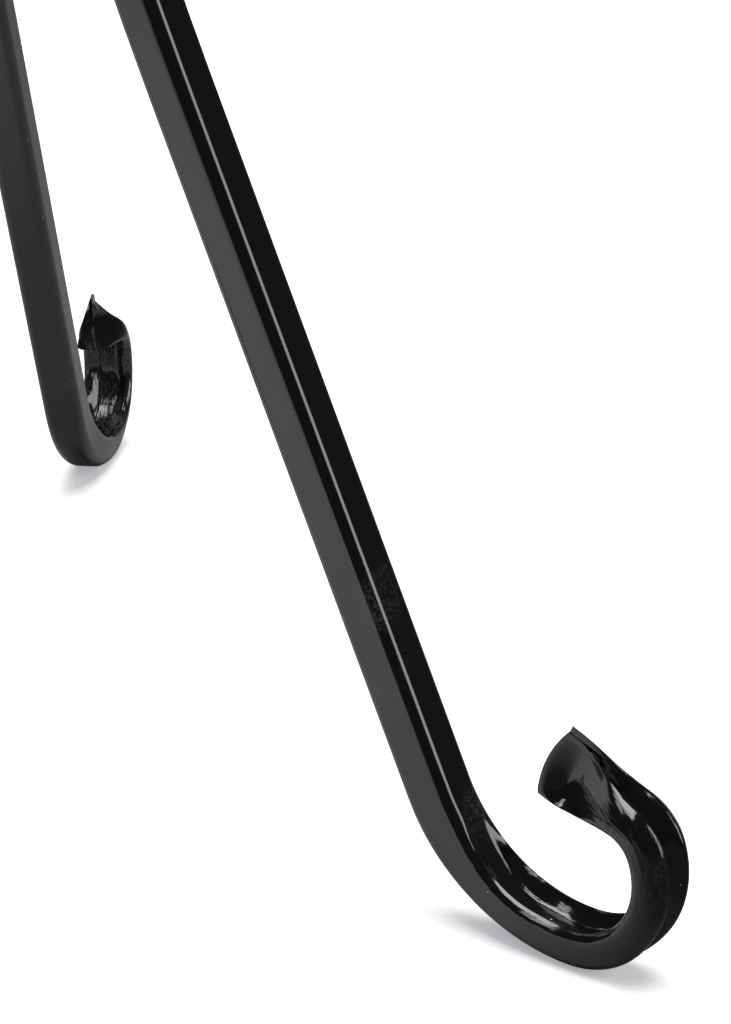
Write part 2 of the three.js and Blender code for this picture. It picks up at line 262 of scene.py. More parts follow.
def square_outline(width, corner, wall_points, side_points, arc_points):
    """A rounded square, anticlockwise from its inner wall: x across the bend, y into it."""
    half, flat = width / 2, width / 2 - corner
    walls = (wall_points, side_points, wall_points, side_points)
    outline = []
    for turn, count in enumerate(walls):
        quarter = [(across, half) for across in np.linspace(flat, -flat, count)]
        for angle in np.linspace(0, math.pi / 2, arc_points + 2)[1:-1]:
            quarter.append((-flat - corner * math.sin(angle), flat + corner * math.cos(angle)))
        cosine, sine = math.cos(turn * math.pi / 2), math.sin(turn * math.pi / 2)
        outline += [(x * cosine - y * sine, x * sine + y * cosine) for x, y in quarter]
    return np.array(outline)


def follow(start, heading, moves, fineness):
    """Stations down the middle line of a bent tube, in a plane through the pole's axis:
    distance out, height, heading and distance along. A move is (length, turn)."""
    x, z = start
    along = 0
    stations = [(x, z, heading, along)]
    for length, turn in moves:
        steps = max(1, math.ceil(length / fineness), math.ceil(abs(turn) / TURN_STEP))
        for _ in range(steps):
            towards = heading + turn / steps / 2
            step = length / steps
            chord = step if not turn else step * math.sin(turn / steps / 2) / (turn / steps / 2)
            x += chord * math.cos(towards)
            z += chord * math.sin(towards)
            heading += turn / steps
            along += step
            stations.append((x, z, heading, along))
    return np.array(stations)


def bend(radius, turn):
    return (radius * abs(turn), turn)


def tip_outline(form, outline, half):
    """The crushed end: a square pulled out to four corners."""
    across, inward = outline[:, 0] / half, outline[:, 1] / half
    u, v = ((1 + across) / 2)[:, None], ((1 + inward) / 2)[:, None]
    near, far = np.array(form["near"]), np.array(form["far"])
    near_outer, far_outer = np.array(form["near_outer"]), np.array(form["far_outer"])
    return (
        1 - u
    ) * v * near + u * v * far + (1 - u) * (1 - v) * near_outer + u * (1 - v) * far_outer


def formed_rings(stations, width, form, knee_start):
    """The tube's outline at each station, formed as it bends, flattens and is crushed; with
    each point's place on the worked metal and how far it is worked."""
    half = width / 2
    outline = square_outline(width, form["corner"], *TUBE_POINTS)
    sharper = square_outline(width, form["corner"] * TIP_CORNER, *TUBE_POINTS)
    across, inward = outline[:, 0] / half, outline[:, 1] / half
    near_wall = smoothstep(-across, *BOWL_EDGE) * (1 - inward**2)
    fold = smoothstep(FOLD_REACH - np.abs(across), 0, FOLD_REACH)
    on_inner = smoothstep(inward, *WALL_EDGE)
    on_outer = smoothstep(-inward, *WALL_EDGE)
    tip = tip_outline(form, sharper, half)
    end = stations[-1, 3]
    rings, flow, worked = [], [], []
    for x, z, heading, along in stations:
        level = math.degrees(heading) if along > knee_start else -90
        fallen = smoothstep(level, *form["fall"])
        drawn = smoothstep(level, *form["draw"])
        flattened = smoothstep(level, *form["flatten"])
        crushed = smoothstep(along, end - form["crush_length"], end - form["tip_flat"])
        wander = WANDER[0] * math.sin(along * 2 * math.pi / WANDER[1])
        rim = form["trough_rim"] - np.abs(across + wander * fallen)
        sunk = np.clip(rim / (form["trough_rim"] - form["trough_floor"]), 0, 1)
        dip = (1 - (1 - sunk) ** 2 + smoothstep(sunk, 0, 1)) / 2
        bowl = smoothstep(along, end - form["crush_length"], end - form["bowl_end"])
        bowl *= 1 - smoothstep(along, end - form["bowl_end"], end)
        spread = 1 + (form["spread"] - 1) * flattened
        thinning = 1 + (form["thinning"] - 1) * flattened
        swell = across * (1 - inward**2) * form["bulge"] * fallen
        taper = 1 + inward * form["taper"] * fallen
        trough = form["trough"] * fallen * on_inner * dip
        crease = form["crease"] * drawn * on_outer * fold
        y = (outline[:, 1] - trough) * thinning
        floor_side = -half * thinning
        y = floor_side + (y - floor_side) * (1 - form["sag"] * fallen)
        formed = np.stack([(outline[:, 0] + swell) * spread * taper, y], 1)
        section = formed * (1 - crushed) + tip * crushed
        section[:, 1] += crease * (1 - CREASE_LOSS * crushed)
        section[:, 0] += form["bowl"] * bowl * near_wall
        arc_height = np.clip(1 - (section[:, 1] / (ARC_REACH * half)) ** 2, 0, 1)
        arc = form["tip_arc"] * arc_height
        on = crushed * (arc - form["tip_skew"] * section[:, 1])
        sine, cosine = math.sin(heading), math.cos(heading)
        ring = np.stack(
            [
                x + on * cosine - section[:, 1] * sine,
                section[:, 0],
                z + on * sine + section[:, 1] * cosine,
            ], 1
        )
        rings.append(ring)
        flow.append(np.stack([np.full(len(outline), along), outline[:, 0], outline[:, 1]], 1))
        worked.append(np.full(len(outline), fallen * (1 - WRINKLE_LOSS * crushed)))
    return np.array(rings), np.array(flow), np.array(worked)


def copy_turn(k):
    """How far a copy of a leg or an arm is turned about the pole; the first isn't."""
    return 2 * math.pi * k / COPIES


def about_pole(points, turn):
    """Points given from the pole's axis, turned about it and put in the stand's frame."""
    cosine, sine = math.cos(turn), math.sin(turn)
    points = np.asarray(points)
    x = points[:, 0] * cosine - points[:, 1] * sine + POLE_AXIS.x
    y = points[:, 0] * sine + points[:, 1] * cosine + POLE_AXIS.y
    return np.stack([x, y, points[:, 2]], 1)


def turned(profile, sides=TURNED_SIDES):
    """A turned piece from (radius, height) points that start and end on its axis, or that
    run round a closed wall and end where they start."""
    angles = np.arange(sides) * 2 * math.pi / sides
    closed = profile[0] == profile[-1]
    rows = [point for point in (profile[:-1] if closed else profile) if closed or point[0] > 0]
    points = [(r * math.cos(a), r * math.sin(a), z) for r, z in rows for a in angles]
    faces = []
    for row in range(len(rows) if closed else len(rows) - 1):
        low, high = row * sides, ((row + 1) % len(rows)) * sides
        for k in range(sides):
            beside = (k + 1) % sides
            faces.append((low + k, low + beside, high + beside, high + k))
    if not closed:
        points += [(0, 0, profile[0][1]), (0, 0, profile[-1][1])]
        first, last = len(points) - 2, len(points) - 1
        top = (len(rows) - 1) * sides
        for k in range(sides):
            faces.append((first, (k + 1) % sides, k))
            faces.append((last, top + k, top + (k + 1) % sides))
    return points, faces


def eased(profile, radius, steps=4):
    """A profile whose named corners are rounded; a corner is (radius, height, True)."""
    eased_points = []
    for k, (x, z, *rounded) in enumerate(profile):
        if not rounded:
            eased_points.append((x, z))
            continue
        here = Vector((x, z))
        before = (Vector(profile[k - 1][:2]) - here).normalized() * radius
        after = (Vector(profile[k + 1][:2]) - here).normalized() * radius
        for step in range(steps + 1):
            t = step / steps
            at = here + before * (1 - t) ** 2 + after * t**2
            eased_points.append((at.x, at.y))
    return eased_points


# ---- Shader groups ----


def new_group(name, inputs, outputs):
    group = bpy.data.node_groups.new(name, "ShaderNodeTree")
    for socket, kind, value in inputs:
        made = group.interface.new_socket(socket, in_out="INPUT", socket_type=kind)
        made.default_value = value
    for socket, kind in outputs:
        group.interface.new_socket(socket, in_out="OUTPUT", socket_type=kind)
    return group, group.nodes.new("NodeGroupInput"), group.nodes.new("NodeGroupOutput")


def node(tree, kind, inputs=None, **settings):
    made = tree.nodes.new(kind)
    for key, value in settings.items():
        setattr(made, key, value)
    for socket, value in (inputs or {}).items():
        if isinstance(value, bpy.types.NodeSocket):
            tree.links.new(value, made.inputs[socket])
        else:
            made.inputs[socket].default_value = value
    return made


def dust_group():
    """Small pale specks, scattered by the cell."""
    group, given, out = new_group(
        "dust specks",
        [
            ("Cells per Metre", "NodeSocketFloat", 240.0),
            ("Speck Size", "NodeSocketFloat", 0.06),
            ("Share", "NodeSocketFloat", 0.2),
        ],
        [("Mask", "NodeSocketFloat")],
    )
    place = node(group, "ShaderNodeTexCoord").outputs["Object"]
    scale = given.outputs["Cells per Metre"]
    cells = node(group, "ShaderNodeTexVoronoi", {"Vector": place, "Scale": scale})
    inside = {0: cells.outputs["Distance"], 1: given.outputs["Speck Size"]}
    near = node(group, "ShaderNodeMath", inside, operation="LESS_THAN")
    chance = node(group, "ShaderNodeSeparateColor", {"Color": cells.outputs["Color"]})
    drawn = {0: chance.outputs["Red"], 1: given.outputs["Share"]}
    kept = node(group, "ShaderNodeMath", drawn, operation="LESS_THAN")
    mask = node(
        group, "ShaderNodeMath", {0: near.outputs[0], 1: kept.outputs[0]}, operation="MULTIPLY"
    )
    group.links.new(mask.outputs[0], out.inputs["Mask"])
    return group


def film_group():
    """A broken film of fine dust, between two heights over the floor."""
    group, given, out = new_group(
        "dust film",
        [
            ("Patch Scale", "NodeSocketFloat", 26.0),
            ("Grain Scale", "NodeSocketFloat", 900.0),
            ("Low", "NodeSocketFloat", 0.02),
            ("High", "NodeSocketFloat", 0.2),
        ],
        [("Mask", "NodeSocketFloat")],
    )
    place = node(group, "ShaderNodeTexCoord").outputs["Object"]
    patch = node(
        group,
        "ShaderNodeTexNoise",
        {"Vector": place, "Scale": given.outputs["Patch Scale"], "Detail": 4.0},
    )
    shaped = {"Value": patch.outputs["Fac"], "From Min": 0.53, "From Max": 0.66}
    patches = node(group, "ShaderNodeMapRange", shaped)
    grain = node(
        group,
        "ShaderNodeTexNoise",
        {"Vector": place, "Scale": given.outputs["Grain Scale"], "Detail": 2.0},
    )
    fine = node(
        group,
        "ShaderNodeMapRange",
        {"Value": grain.outputs["Fac"], "From Min": 0.42, "From Max": 0.68},
    )
    height = node(group, "ShaderNodeSeparateXYZ", {"Vector": place}).outputs["Z"]
    window = {"Value": height, "From Min": given.outputs["High"], "From Max": given.outputs["Low"]}
    low_down = node(group, "ShaderNodeMapRange", window, interpolation_type="SMOOTHSTEP")
    both = node(
        group, "ShaderNodeMath", {0: patches.outputs[0], 1: fine.outputs[0]}, operation="MULTIPLY"
    )
    mask = node(
        group, "ShaderNodeMath", {0: both.outputs[0], 1: low_down.outputs[0]}, operation="MULTIPLY"
    )
    group.links.new(mask.outputs[0], out.inputs["Mask"])
    return group


def ripple_group():
    """The height of a flowed coat in metres: orange peel, slow waves and a few dimples."""
    group, given, out = new_group(
        "coat ripple",
        [
            ("Peel Scale", "NodeSocketFloat", 420.0),
            ("Peel Height", "NodeSocketFloat", 1e-5),
            ("Wave Scale", "NodeSocketFloat", 45.0),
            ("Wave Height", "NodeSocketFloat", 5e-5),
            ("Dimple Depth", "NodeSocketFloat", 0.0),
        ],
        [("Height", "NodeSocketFloat")],
    )
    place = node(group, "ShaderNodeTexCoord").outputs["Object"]
    peel = node(
        group,
        "ShaderNodeTexNoise",
        {"Vector": place, "Scale": given.outputs["Peel Scale"], "Detail": 1.0},
    )
    wave = node(
        group,
        "ShaderNodeTexNoise",
        {"Vector": place, "Scale": given.outputs["Wave Scale"], "Detail": 1.0},
    )
    fine = {0: peel.outputs["Fac"], 1: given.outputs["Peel Height"]}
    slow = {0: wave.outputs["Fac"], 1: given.outputs["Wave Height"]}
    cells = node(group, "ShaderNodeTexVoronoi", {"Vector": place, "Scale": 60.0})
    hollow = {
        "Value": cells.outputs["Distance"],
        "From Min": 0.0,
        "From Max": 0.2,
        "To Min": 1.0,
        "To Max": 0.0,
    }
    round_hollow = node(group, "ShaderNodeMapRange", hollow, interpolation_type="SMOOTHERSTEP")
    chance = node(group, "ShaderNodeSeparateColor", {"Color": cells.outputs["Color"]})
    kept = node(
        group, "ShaderNodeMath", {0: chance.outputs["Green"], 1: 0.2}, operation="LESS_THAN"
    )
    dimple = node(
        group,
        "ShaderNodeMath",
        {0: round_hollow.outputs[0], 1: kept.outputs[0]},
        operation="MULTIPLY",
    )
    deep = {0: dimple.outputs[0], 1: given.outputs["Dimple Depth"]}
    parts = [
        node(group, "ShaderNodeMath", factors, operation="MULTIPLY")
        for factors in (fine, slow, deep)
    ]
    height = node(
        group, "ShaderNodeMath", {0: parts[0].outputs[0], 1: parts[1].outputs[0]}, operation="ADD"
    )
    whole = {0: height.outputs[0], 1: parts[2].outputs[0]}
    dented = node(group, "ShaderNodeMath", whole, operation="SUBTRACT")
    group.links.new(dented.outputs[0], out.inputs["Height"])
    return group


def wrinkle_group():
    """Creases that run along worked metal, from its own flow and worked attributes."""
    group, given, out = new_group(
        "worked wrinkles",
        [
            ("Along", "NodeSocketFloat", 110.0),
            ("Across", "NodeSocketFloat", 700.0),
            ("Height", "NodeSocketFloat", 0.0),
        ],
        [("Height", "NodeSocketFloat")],
    )
    flow = node(group, "ShaderNodeAttribute", attribute_name="flow").outputs["Vector"]
    worked = node(group, "ShaderNodeAttribute", attribute_name="worked").outputs["Fac"]
    stretch = node(
        group,
        "ShaderNodeCombineXYZ",
        {0: given.outputs["Along"], 1: given.outputs["Across"], 2: given.outputs["Across"]},
    )
    drawn = node(
        group, "ShaderNodeVectorMath", {0: flow, 1: stretch.outputs[0]}, operation="MULTIPLY"
    )
    folds = node(
        group,
        "ShaderNodeTexNoise",
        {"Vector": drawn.outputs[0], "Scale": 1.0, "Detail": 3.0, "Roughness": 0.55},
    )
    ridged = node(
        group,
        "ShaderNodeMapRange",
        {"Value": folds.outputs["Fac"], "From Min": 0.35, "From Max": 0.65},
    )
    scaled = node(
        group,
        "ShaderNodeMath",
        {0: ridged.outputs[0], 1: given.outputs["Height"]},
        operation="MULTIPLY",
    )
    height = node(group, "ShaderNodeMath", {0: scaled.outputs[0], 1: worked}, operation="MULTIPLY")
    group.links.new(height.outputs[0], out.inputs["Height"])
    return group


DUST = dust_group()
FILM = film_group()
RIPPLE = ripple_group()
WRINKLES = wrinkle_group()


def new_material(name):
    material = bpy.data.materials.new(name)
    material.use_nodes = True
    tree = material.node_tree
    return material, tree, tree.nodes["Principled BSDF"]


def placed(tree, group, values):
    """A shader group in a material, with its own values."""
    made = node(tree, "ShaderNodeGroup", node_tree=group)
    for socket, value in values.items():
        made.inputs[socket].default_value = value
    return made


def blend(tree, mask, under, over):
    return node(
        tree, "ShaderNodeMix", {"Factor": mask, "A": under, "B": over}, data_type="RGBA"
    ).outputs["Result"]


FILM_COLOUR = (0.35, 0.34, 0.35, 1)
SPECK_COLOUR = (0.5, 0.5, 0.5, 1)


def coated(name, colour, roughness, ior, ripple, wrinkle_height, speck_share, film):
    """A coat with dust in its colour and ripples in its normal."""
    material, tree, shader = new_material(name)
    specks = placed(tree, DUST, {"Share": speck_share})
    dusty = placed(tree, FILM, {})
    film_share = node(
        tree, "ShaderNodeMath", {0: dusty.outputs["Mask"], 1: film}, operation="MULTIPLY"
    )
    filmed = blend(tree, film_share.outputs[0], (*colour, 1), FILM_COLOUR)
    speckled = blend(tree, specks.outputs["Mask"], filmed, SPECK_COLOUR)
    tree.links.new(speckled, shader.inputs["Base Color"])
    shader.inputs["Roughness"].default_value = roughness
    shader.inputs["IOR"].default_value = ior
    coat = placed(tree, RIPPLE, ripple)
    folds = placed(tree, WRINKLES, {"Height": wrinkle_height})
    height = node(
        tree,
        "ShaderNodeMath",
        {0: coat.outputs["Height"], 1: folds.outputs["Height"]},
        operation="ADD",
    )
    bump = node(tree, "ShaderNodeBump", {"Height": height.outputs[0], "Distance": 1.0})
    tree.links.new(bump.outputs["Normal"], shader.inputs["Normal"])
    return material


ENAMEL_RIPPLE = {"Peel Height": 4e-6, "Wave Height": 4e-5, "Dimple Depth": 6e-5}
PLASTIC_RIPPLE = {"Peel Height": 6e-6, "Wave Height": 0.0}
ENAMEL = coated(
    "gloss black enamel",
    colour=(0.0025, 0.0026, 0.003),
    roughness=0.09,
    ior=1.62,
    ripple=ENAMEL_RIPPLE,
    wrinkle_height=6e-5,
    speck_share=0.05,
    film=0.16,
)
PLASTIC = coated(
    "satin black plastic",
    colour=(0.014, 0.014, 0.015),
    roughness=0.42,
    ior=1.5,
    ripple=PLASTIC_RIPPLE,
    wrinkle_height=0.0,
    speck_share=0.0,
    film=0.0,
)
ZINC, zinc_tree, zinc_shader = new_material("bright zinc plate")
zinc_shader.inputs["Base Color"].default_value = (0.55, 0.56, 0.58, 1)
zinc_shader.inputs["Metallic"].default_value = 1
zinc_shader.inputs["Roughness"].default_value = 0.3
zinc_peel = placed(zinc_tree, RIPPLE, {"Peel Height": 3e-6, "Wave Height": 0.0})
zinc_bump = node(
    zinc_tree, "ShaderNodeBump", {"Height": zinc_peel.outputs["Height"], "Distance": 1.0}
)
zinc_tree.links.new(zinc_bump.outputs["Normal"], zinc_shader.inputs["Normal"])

# ---- Legs and arms ----


def tube_piece(name, stations, knee_start, width, form, turn):
    rings, flow, worked = formed_rings(stations, width, form, knee_start)
    points, faces = skin(rings)
    piece = add_object(name, about_pole(points, turn), faces, ENAMEL)
    ends = np.stack([flow[0].mean(0), flow[-1].mean(0)])
    flow_values = np.concatenate([flow.reshape(-1, 3), ends]).ravel()
    worked_values = np.concatenate([worked.ravel(), [0, 1]])
    piece.data.attributes.new(
        "flow", "FLOAT_VECTOR", "POINT"
    ).data.foreach_set("vector", flow_values)
    piece.data.attributes.new("worked", "FLOAT", "POINT").data.foreach_set("value", worked_values)
    return piece


def place_piece(piece, slot, *names):
    """Put a finished piece in place of CAD nodes, on the stand's one body."""
    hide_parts(*names)
    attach(piece, "root")


def leg_stations():
    knee_reach = KNEE_RADIUS * math.cos(LEG_LEAN)
    straight_reach = LEG_STRAIGHT * math.sin(LEG_LEAN)
    bow_reach = FOOT_RADIUS - knee_reach - straight_reach - LEG_SEAT
    bow_radius = bow_reach / (1 - math.cos(LEG_LEAN))
    whole = [(LEG_SEAT_LENGTH, 0), bend(bow_radius, LEG_LEAN), (LEG_STRAIGHT, 0)]
    curl = [
        bend(KNEE_RADIUS, math.pi / 2 - LEG_LEAN), bend(*FOOT_CURL), bend(*FOOT_TIP_BEND), FOOT_TIP
    ]
    knee_start = sum(length for length, _ in whole)
    upper = follow((LEG_SEAT, LEG_TOP), -math.pi / 2, whole, LEG_STEP)
    x, z, heading, along = upper[-1]
    lower = follow((x, z), heading, curl, CURL_STEP)
    lower[:, 3] += along
    stations = np.concatenate([upper, lower[1:]])
    # The seat's height gives way so that the middle of the lowest point is half a tube up.
    stations[1:, 1] += LEG_WIDTH / 2 - stations[:, 1].min()
    return stations, knee_start


def arm_stations():
    reach = ARCH_RADIUS + (SHOULDER_RADIUS + HOOK_CURL[0]) * math.sin(ARM_SLOPE)
    level_run = HOOK_RADIUS - ARM_SEAT - reach - ARM_FALL * math.cos(ARM_SLOPE)
    whole = [
        (ARM_SEAT_LENGTH, 0),
        bend(ARCH_RADIUS, -math.pi / 2),
        (level_run, 0),
        bend(SHOULDER_RADIUS, -ARM_SLOPE),
        (ARM_FALL, 0),
    ]
    curl = [bend(HOOK_CURL[0], ARM_SLOPE), bend(*HOOK_CURL), bend(*HOOK_TIP_BEND), (HOOK_TIP, 0)]
    knee_start = sum(length for length, _ in whole)
    upper = follow((ARM_SEAT, ARM_FOOT), math.pi / 2, whole, ARM_STEP)
    x, z, heading, along = upper[-1]
    lower = follow((x, z), heading, curl, CURL_STEP)
    lower[:, 3] += along
    return np.concatenate([upper, lower[1:]]), knee_start


for kind, path, width, form in (
    ("leg", leg_stations(), LEG_WIDTH, FOOT_FORM),
    ("arm", arm_stations(), ARM_WIDTH, HOOK_FORM),
):
    for k, name in enumerate(TUBE_NAMES[kind]):
        tube = tube_piece(name + "_enamelled", *path, width, form, copy_turn(k))
        place_piece(tube, "enamel", name)

# ---- Pole, finial and plugs ----

BORE = POLE_RADIUS - POLE_WALL
STEM = BORE - SEAT_GAP
ROUNDED = True


def turned_piece(name, profile, material):
    points, faces = turned(eased(profile, EDGE_ROUND))
    return add_object(name, about_pole(points, 0), faces, material)


pole_profile = [
    (BORE, POLE_LOW.z),
    (POLE_RADIUS, POLE_LOW.z, ROUNDED),
    (POLE_RADIUS, POLE_HIGH.z, ROUNDED),
    (BORE, POLE_HIGH.z),
    (BORE, POLE_LOW.z),
]
place_piece(turned_piece("pole_enamelled", pole_profile, ENAMEL), "enamel", "pole")

plug_face = POLE_LOW.z - SEAT_GAP
end_plug_profile = [
    (0, plug_face - PLUG_HEAD),
    (POLE_RADIUS, plug_face - PLUG_HEAD, ROUNDED),
    (POLE_RADIUS, plug_face),
    (STEM, plug_face),
    (STEM, POLE_LOW.z + PLUG_STEM),
    (0, POLE_LOW.z + PLUG_STEM),
]
place_piece(
    turned_piece("pole_end_plug_moulded", end_plug_profile, PLASTIC), "plastic", "pole_end_plug"
)

collar_foot = POLE_HIGH.z + SEAT_GAP
neck_foot = collar_foot + FINIAL_COLLAR
ball_middle = STAND_HEIGHT - FINIAL_BALL
finial_profile = [
    (0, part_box("finial")[0].z),
    (STEM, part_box("finial")[0].z),
    (STEM, collar_foot),
    (POLE_RADIUS, collar_foot, ROUNDED),
    (POLE_RADIUS, neck_foot, ROUNDED),
    (FINIAL_NECK, neck_foot, ROUNDED),
]
for angle in np.linspace(math.asin(FINIAL_NECK / FINIAL_BALL), math.pi, 40)[:-1]:
    finial_profile.append(
        (FINIAL_BALL * math.sin(angle), ball_middle - FINIAL_BALL * math.cos(angle))
    )
finial_profile.append((0, STAND_HEIGHT))
place_piece(turned_piece("finial_turned", finial_profile, ENAMEL), "enamel", "finial")


def square_plug(name, width, corner, seat, base, way, turn):
    """A plug in a tube's open end, with its head's edge eased; way is up or down."""
    stem_width = width - 2 * (POLE_WALL + SEAT_GAP)
    levels = [(-PLUG_STEM, stem_width), (SEAT_GAP, stem_width), (SEAT_GAP, width)]
    for angle in np.linspace(0, math.pi / 2, 5):
        inset = EDGE_ROUND * (1 - math.cos(angle))
        levels.append(
            (SEAT_GAP + PLUG_HEAD - EDGE_ROUND * (1 - math.sin(angle)), width - 2 * inset)
        )
    rings = []
    for height, ring_width in levels:
        share = ring_width / width
        outline = square_outline(width, corner, *PLUG_POINTS) * share
        level = np.full(len(outline), base + way * height)
        rings.append(np.column_stack([outline[:, 0] + seat, outline[:, 1] * way, level]))
    points, faces = skin(rings)
    return add_object(name, about_pole(points, turn), faces, PLASTIC)


for kind, width, corner, seat, base, way in (
    ("leg", LEG_WIDTH, LEG_CORNER, LEG_SEAT, LEG_TOP, 1),
    ("arm", ARM_WIDTH, ARM_CORNER, ARM_SEAT, ARM_FOOT, -1),
):
    for k, name in enumerate(TUBE_NAMES[kind]):
        plug = square_plug(
            name + "_plug_moulded", width, corner, seat, base, way, copy_turn(k)
        )
        place_piece(plug, "plastic", name + "_plug")

# ---- Screws and inserts, grown on their seats ----


def fastening_tree(name, sizes):
    tree = bpy.data.node_groups.new(name, "GeometryNodeTree")
    tree.interface.new_socket("Seats", in_out="INPUT", socket_type="NodeSocketGeometry")
    for size, value in sizes.items():
        tree.interface.new_socket(
            size, in_out="INPUT", socket_type="NodeSocketFloat"
        ).default_value = value
    tree.interface.new_socket("Material", in_out="INPUT", socket_type="NodeSocketMaterial")
    tree.interface.new_socket("Fastenings", in_out="OUTPUT", socket_type="NodeSocketGeometry")
    return tree, tree.nodes.new("NodeGroupInput").outputs, tree.nodes.new("NodeGroupOutput")


def bar(tree, radius, length, middle_height, sides):
    """A cylinder on the Z axis whose middle is at some height."""
    made = node(tree, "GeometryNodeMeshCylinder", {"Radius": radius, "Depth": length})
    made.inputs["Vertices"].default_value = sides
    move = node(tree, "ShaderNodeCombineXYZ", {"Z": middle_height})
    placed_bar = {"Geometry": made.outputs["Mesh"], "Translation": move.outputs[0]}
    return node(tree, "GeometryNodeTransform", placed_bar).outputs["Geometry"]


def scaled(tree, value, factor):
    return node(tree, "ShaderNodeMath", {0: value, 1: factor}, operation="MULTIPLY").outputs[0]


def joined(tree, *solids):
    made = node(tree, "GeometryNodeMeshBoolean", operation="UNION")
    for solid in solids:
        tree.links.new(solid, made.inputs["Mesh 2"])
    return made.outputs["Mesh"]


def cut(tree, solid, tool):
    return node(
        tree, "GeometryNodeMeshBoolean", {"Mesh 1": solid, "Mesh 2": tool}, operation="DIFFERENCE"
    ).outputs["Mesh"]


def set_on_seats(tree, given, out, solid):
    outward = node(
        tree, "GeometryNodeInputNamedAttribute", {"Name": "outward"}, data_type="FLOAT_VECTOR"
    )
    turn = node(
        tree,
        "FunctionNodeAlignRotationToVector",
        {"Vector": outward.outputs["Attribute"]},
        axis="Z",
    )
    seated = {"Points": given["Seats"], "Instance": solid, "Rotation": turn.outputs[0]}
    copies = node(tree, "GeometryNodeInstanceOnPoints", seated)
    real = node(tree, "GeometryNodeRealizeInstances", {"Geometry": copies.outputs["Instances"]})
    finish = {"Geometry": real.outputs["Geometry"], "Material": given["Material"]}
    finished = node(tree, "GeometryNodeSetMaterial", finish)
    tree.links.new(finished.outputs["Geometry"], out.inputs["Fastenings"])


def screw_tree():
    """Dome heads with a hexagonal socket, on round shanks; the seat is under the head."""
    tree, given, out = fastening_tree("dome head screws", {**SCREW_SIZES, "Shank Length": 0.02})
    ball = node(tree, "GeometryNodeMeshUVSphere", {"Radius": 1.0})
    ball.inputs["Segments"].default_value = DOME_SEGMENTS
    ball.inputs["Rings"].default_value = DOME_RINGS
    place = node(
        tree,
        "ShaderNodeSeparateXYZ",
        {"Vector": node(tree, "GeometryNodeInputPosition").outputs[0]},
    )
    above = node(tree, "ShaderNodeMath", {0: place.outputs["Z"], 1: 0.0}, operation="MAXIMUM")
    domed = node(
        tree,
        "ShaderNodeCombineXYZ",
        {
            "X": scaled(tree, place.outputs["X"], given["Head Radius"]),
            "Y": scaled(tree, place.outputs["Y"], given["Head Radius"]),
            "Z": scaled(tree, above.outputs[0], given["Head Height"]),
        },
    )
    dome = node(
        tree,
        "GeometryNodeSetPosition",
        {"Geometry": ball.outputs["Mesh"], "Position": domed.outputs[0]},
    )
    half_down = scaled(tree, given["Shank Length"], -0.5)
    shank = bar(tree, given["Shank Radius"], given["Shank Length"], half_down, SHANK_SIDES)
    socket_depth = scaled(tree, given["Socket Depth"], 2.0)
    socket = bar(tree, given["Socket Radius"], socket_depth, given["Head Height"], SOCKET_SIDES)
    body = joined(tree, dome.outputs["Geometry"], shank)
    set_on_seats(tree, given, out, cut(tree, body, socket))
    return tree


def insert_tree():
    """Flanged inserts with a bore; the seat is at the flange's outer face."""
    tree, given, out = fastening_tree("flanged inserts", INSERT_SIZES)
    half_down = scaled(tree, given["Length"], -0.5)
    body = bar(tree, given["Body Radius"], given["Length"], half_down, INSERT_SIDES)
    half_flange = scaled(tree, given["Flange Thickness"], -0.5)
    thickness = given["Flange Thickness"]
    flange = bar(tree, given["Flange Radius"], thickness, half_flange, INSERT_SIDES)
    bore_length = scaled(tree, given["Length"], 3.0)
    bore = bar(tree, given["Bore Radius"], bore_length, half_down, INSERT_SIDES)
    set_on_seats(tree, given, out, cut(tree, joined(tree, body, flange), bore))
    return tree


def grown(name, tree, kind, reach, values):
    """The fastenings of the legs or the arms, at some reach from the pole's axis, as a mesh."""
    seats, outward = [], []
    for k in range(COPIES):
        turn = copy_turn(k)
        way = (math.cos(turn), math.sin(turn), 0)
        for place in "ab":
            height = middle(f"{kind}_{k + 1}_screw_{place}").z
            seats.append((POLE_AXIS.x + way[0] * reach, POLE_AXIS.y + way[1] * reach, height))
            outward.append(way)
    seat_mesh = bpy.data.meshes.new(name + " seats")
    seat_mesh.from_pydata(seats, [], [])
    seat_mesh.attributes.new("outward", "FLOAT_VECTOR", "POINT").data.foreach_set(
        "vector", np.array(outward).ravel()
    )
    host = bpy.data.objects.new(name + " seats", seat_mesh)
    scene.collection.objects.link(host)
    modifier = host.modifiers.new("grown", "NODES")
    modifier.node_group = tree
    for socket in tree.interface.items_tree:
        if socket.in_out == "INPUT" and socket.name in values:
            modifier[socket.identifier] = values[socket.name]
    evaluated = host.evaluated_get(bpy.context.evaluated_depsgraph_get())
    mesh = bpy.data.meshes.new_from_object(evaluated)
    host.modifiers.remove(modifier)
    bpy.data.objects.remove(host)
    mesh.name = name
    mesh.shade_smooth()
    mesh.set_sharp_from_angle(angle=SMOOTH_ANGLE)
    piece = bpy.data.objects.new(name, mesh)
    scene.collection.objects.link(piece)
    return piece


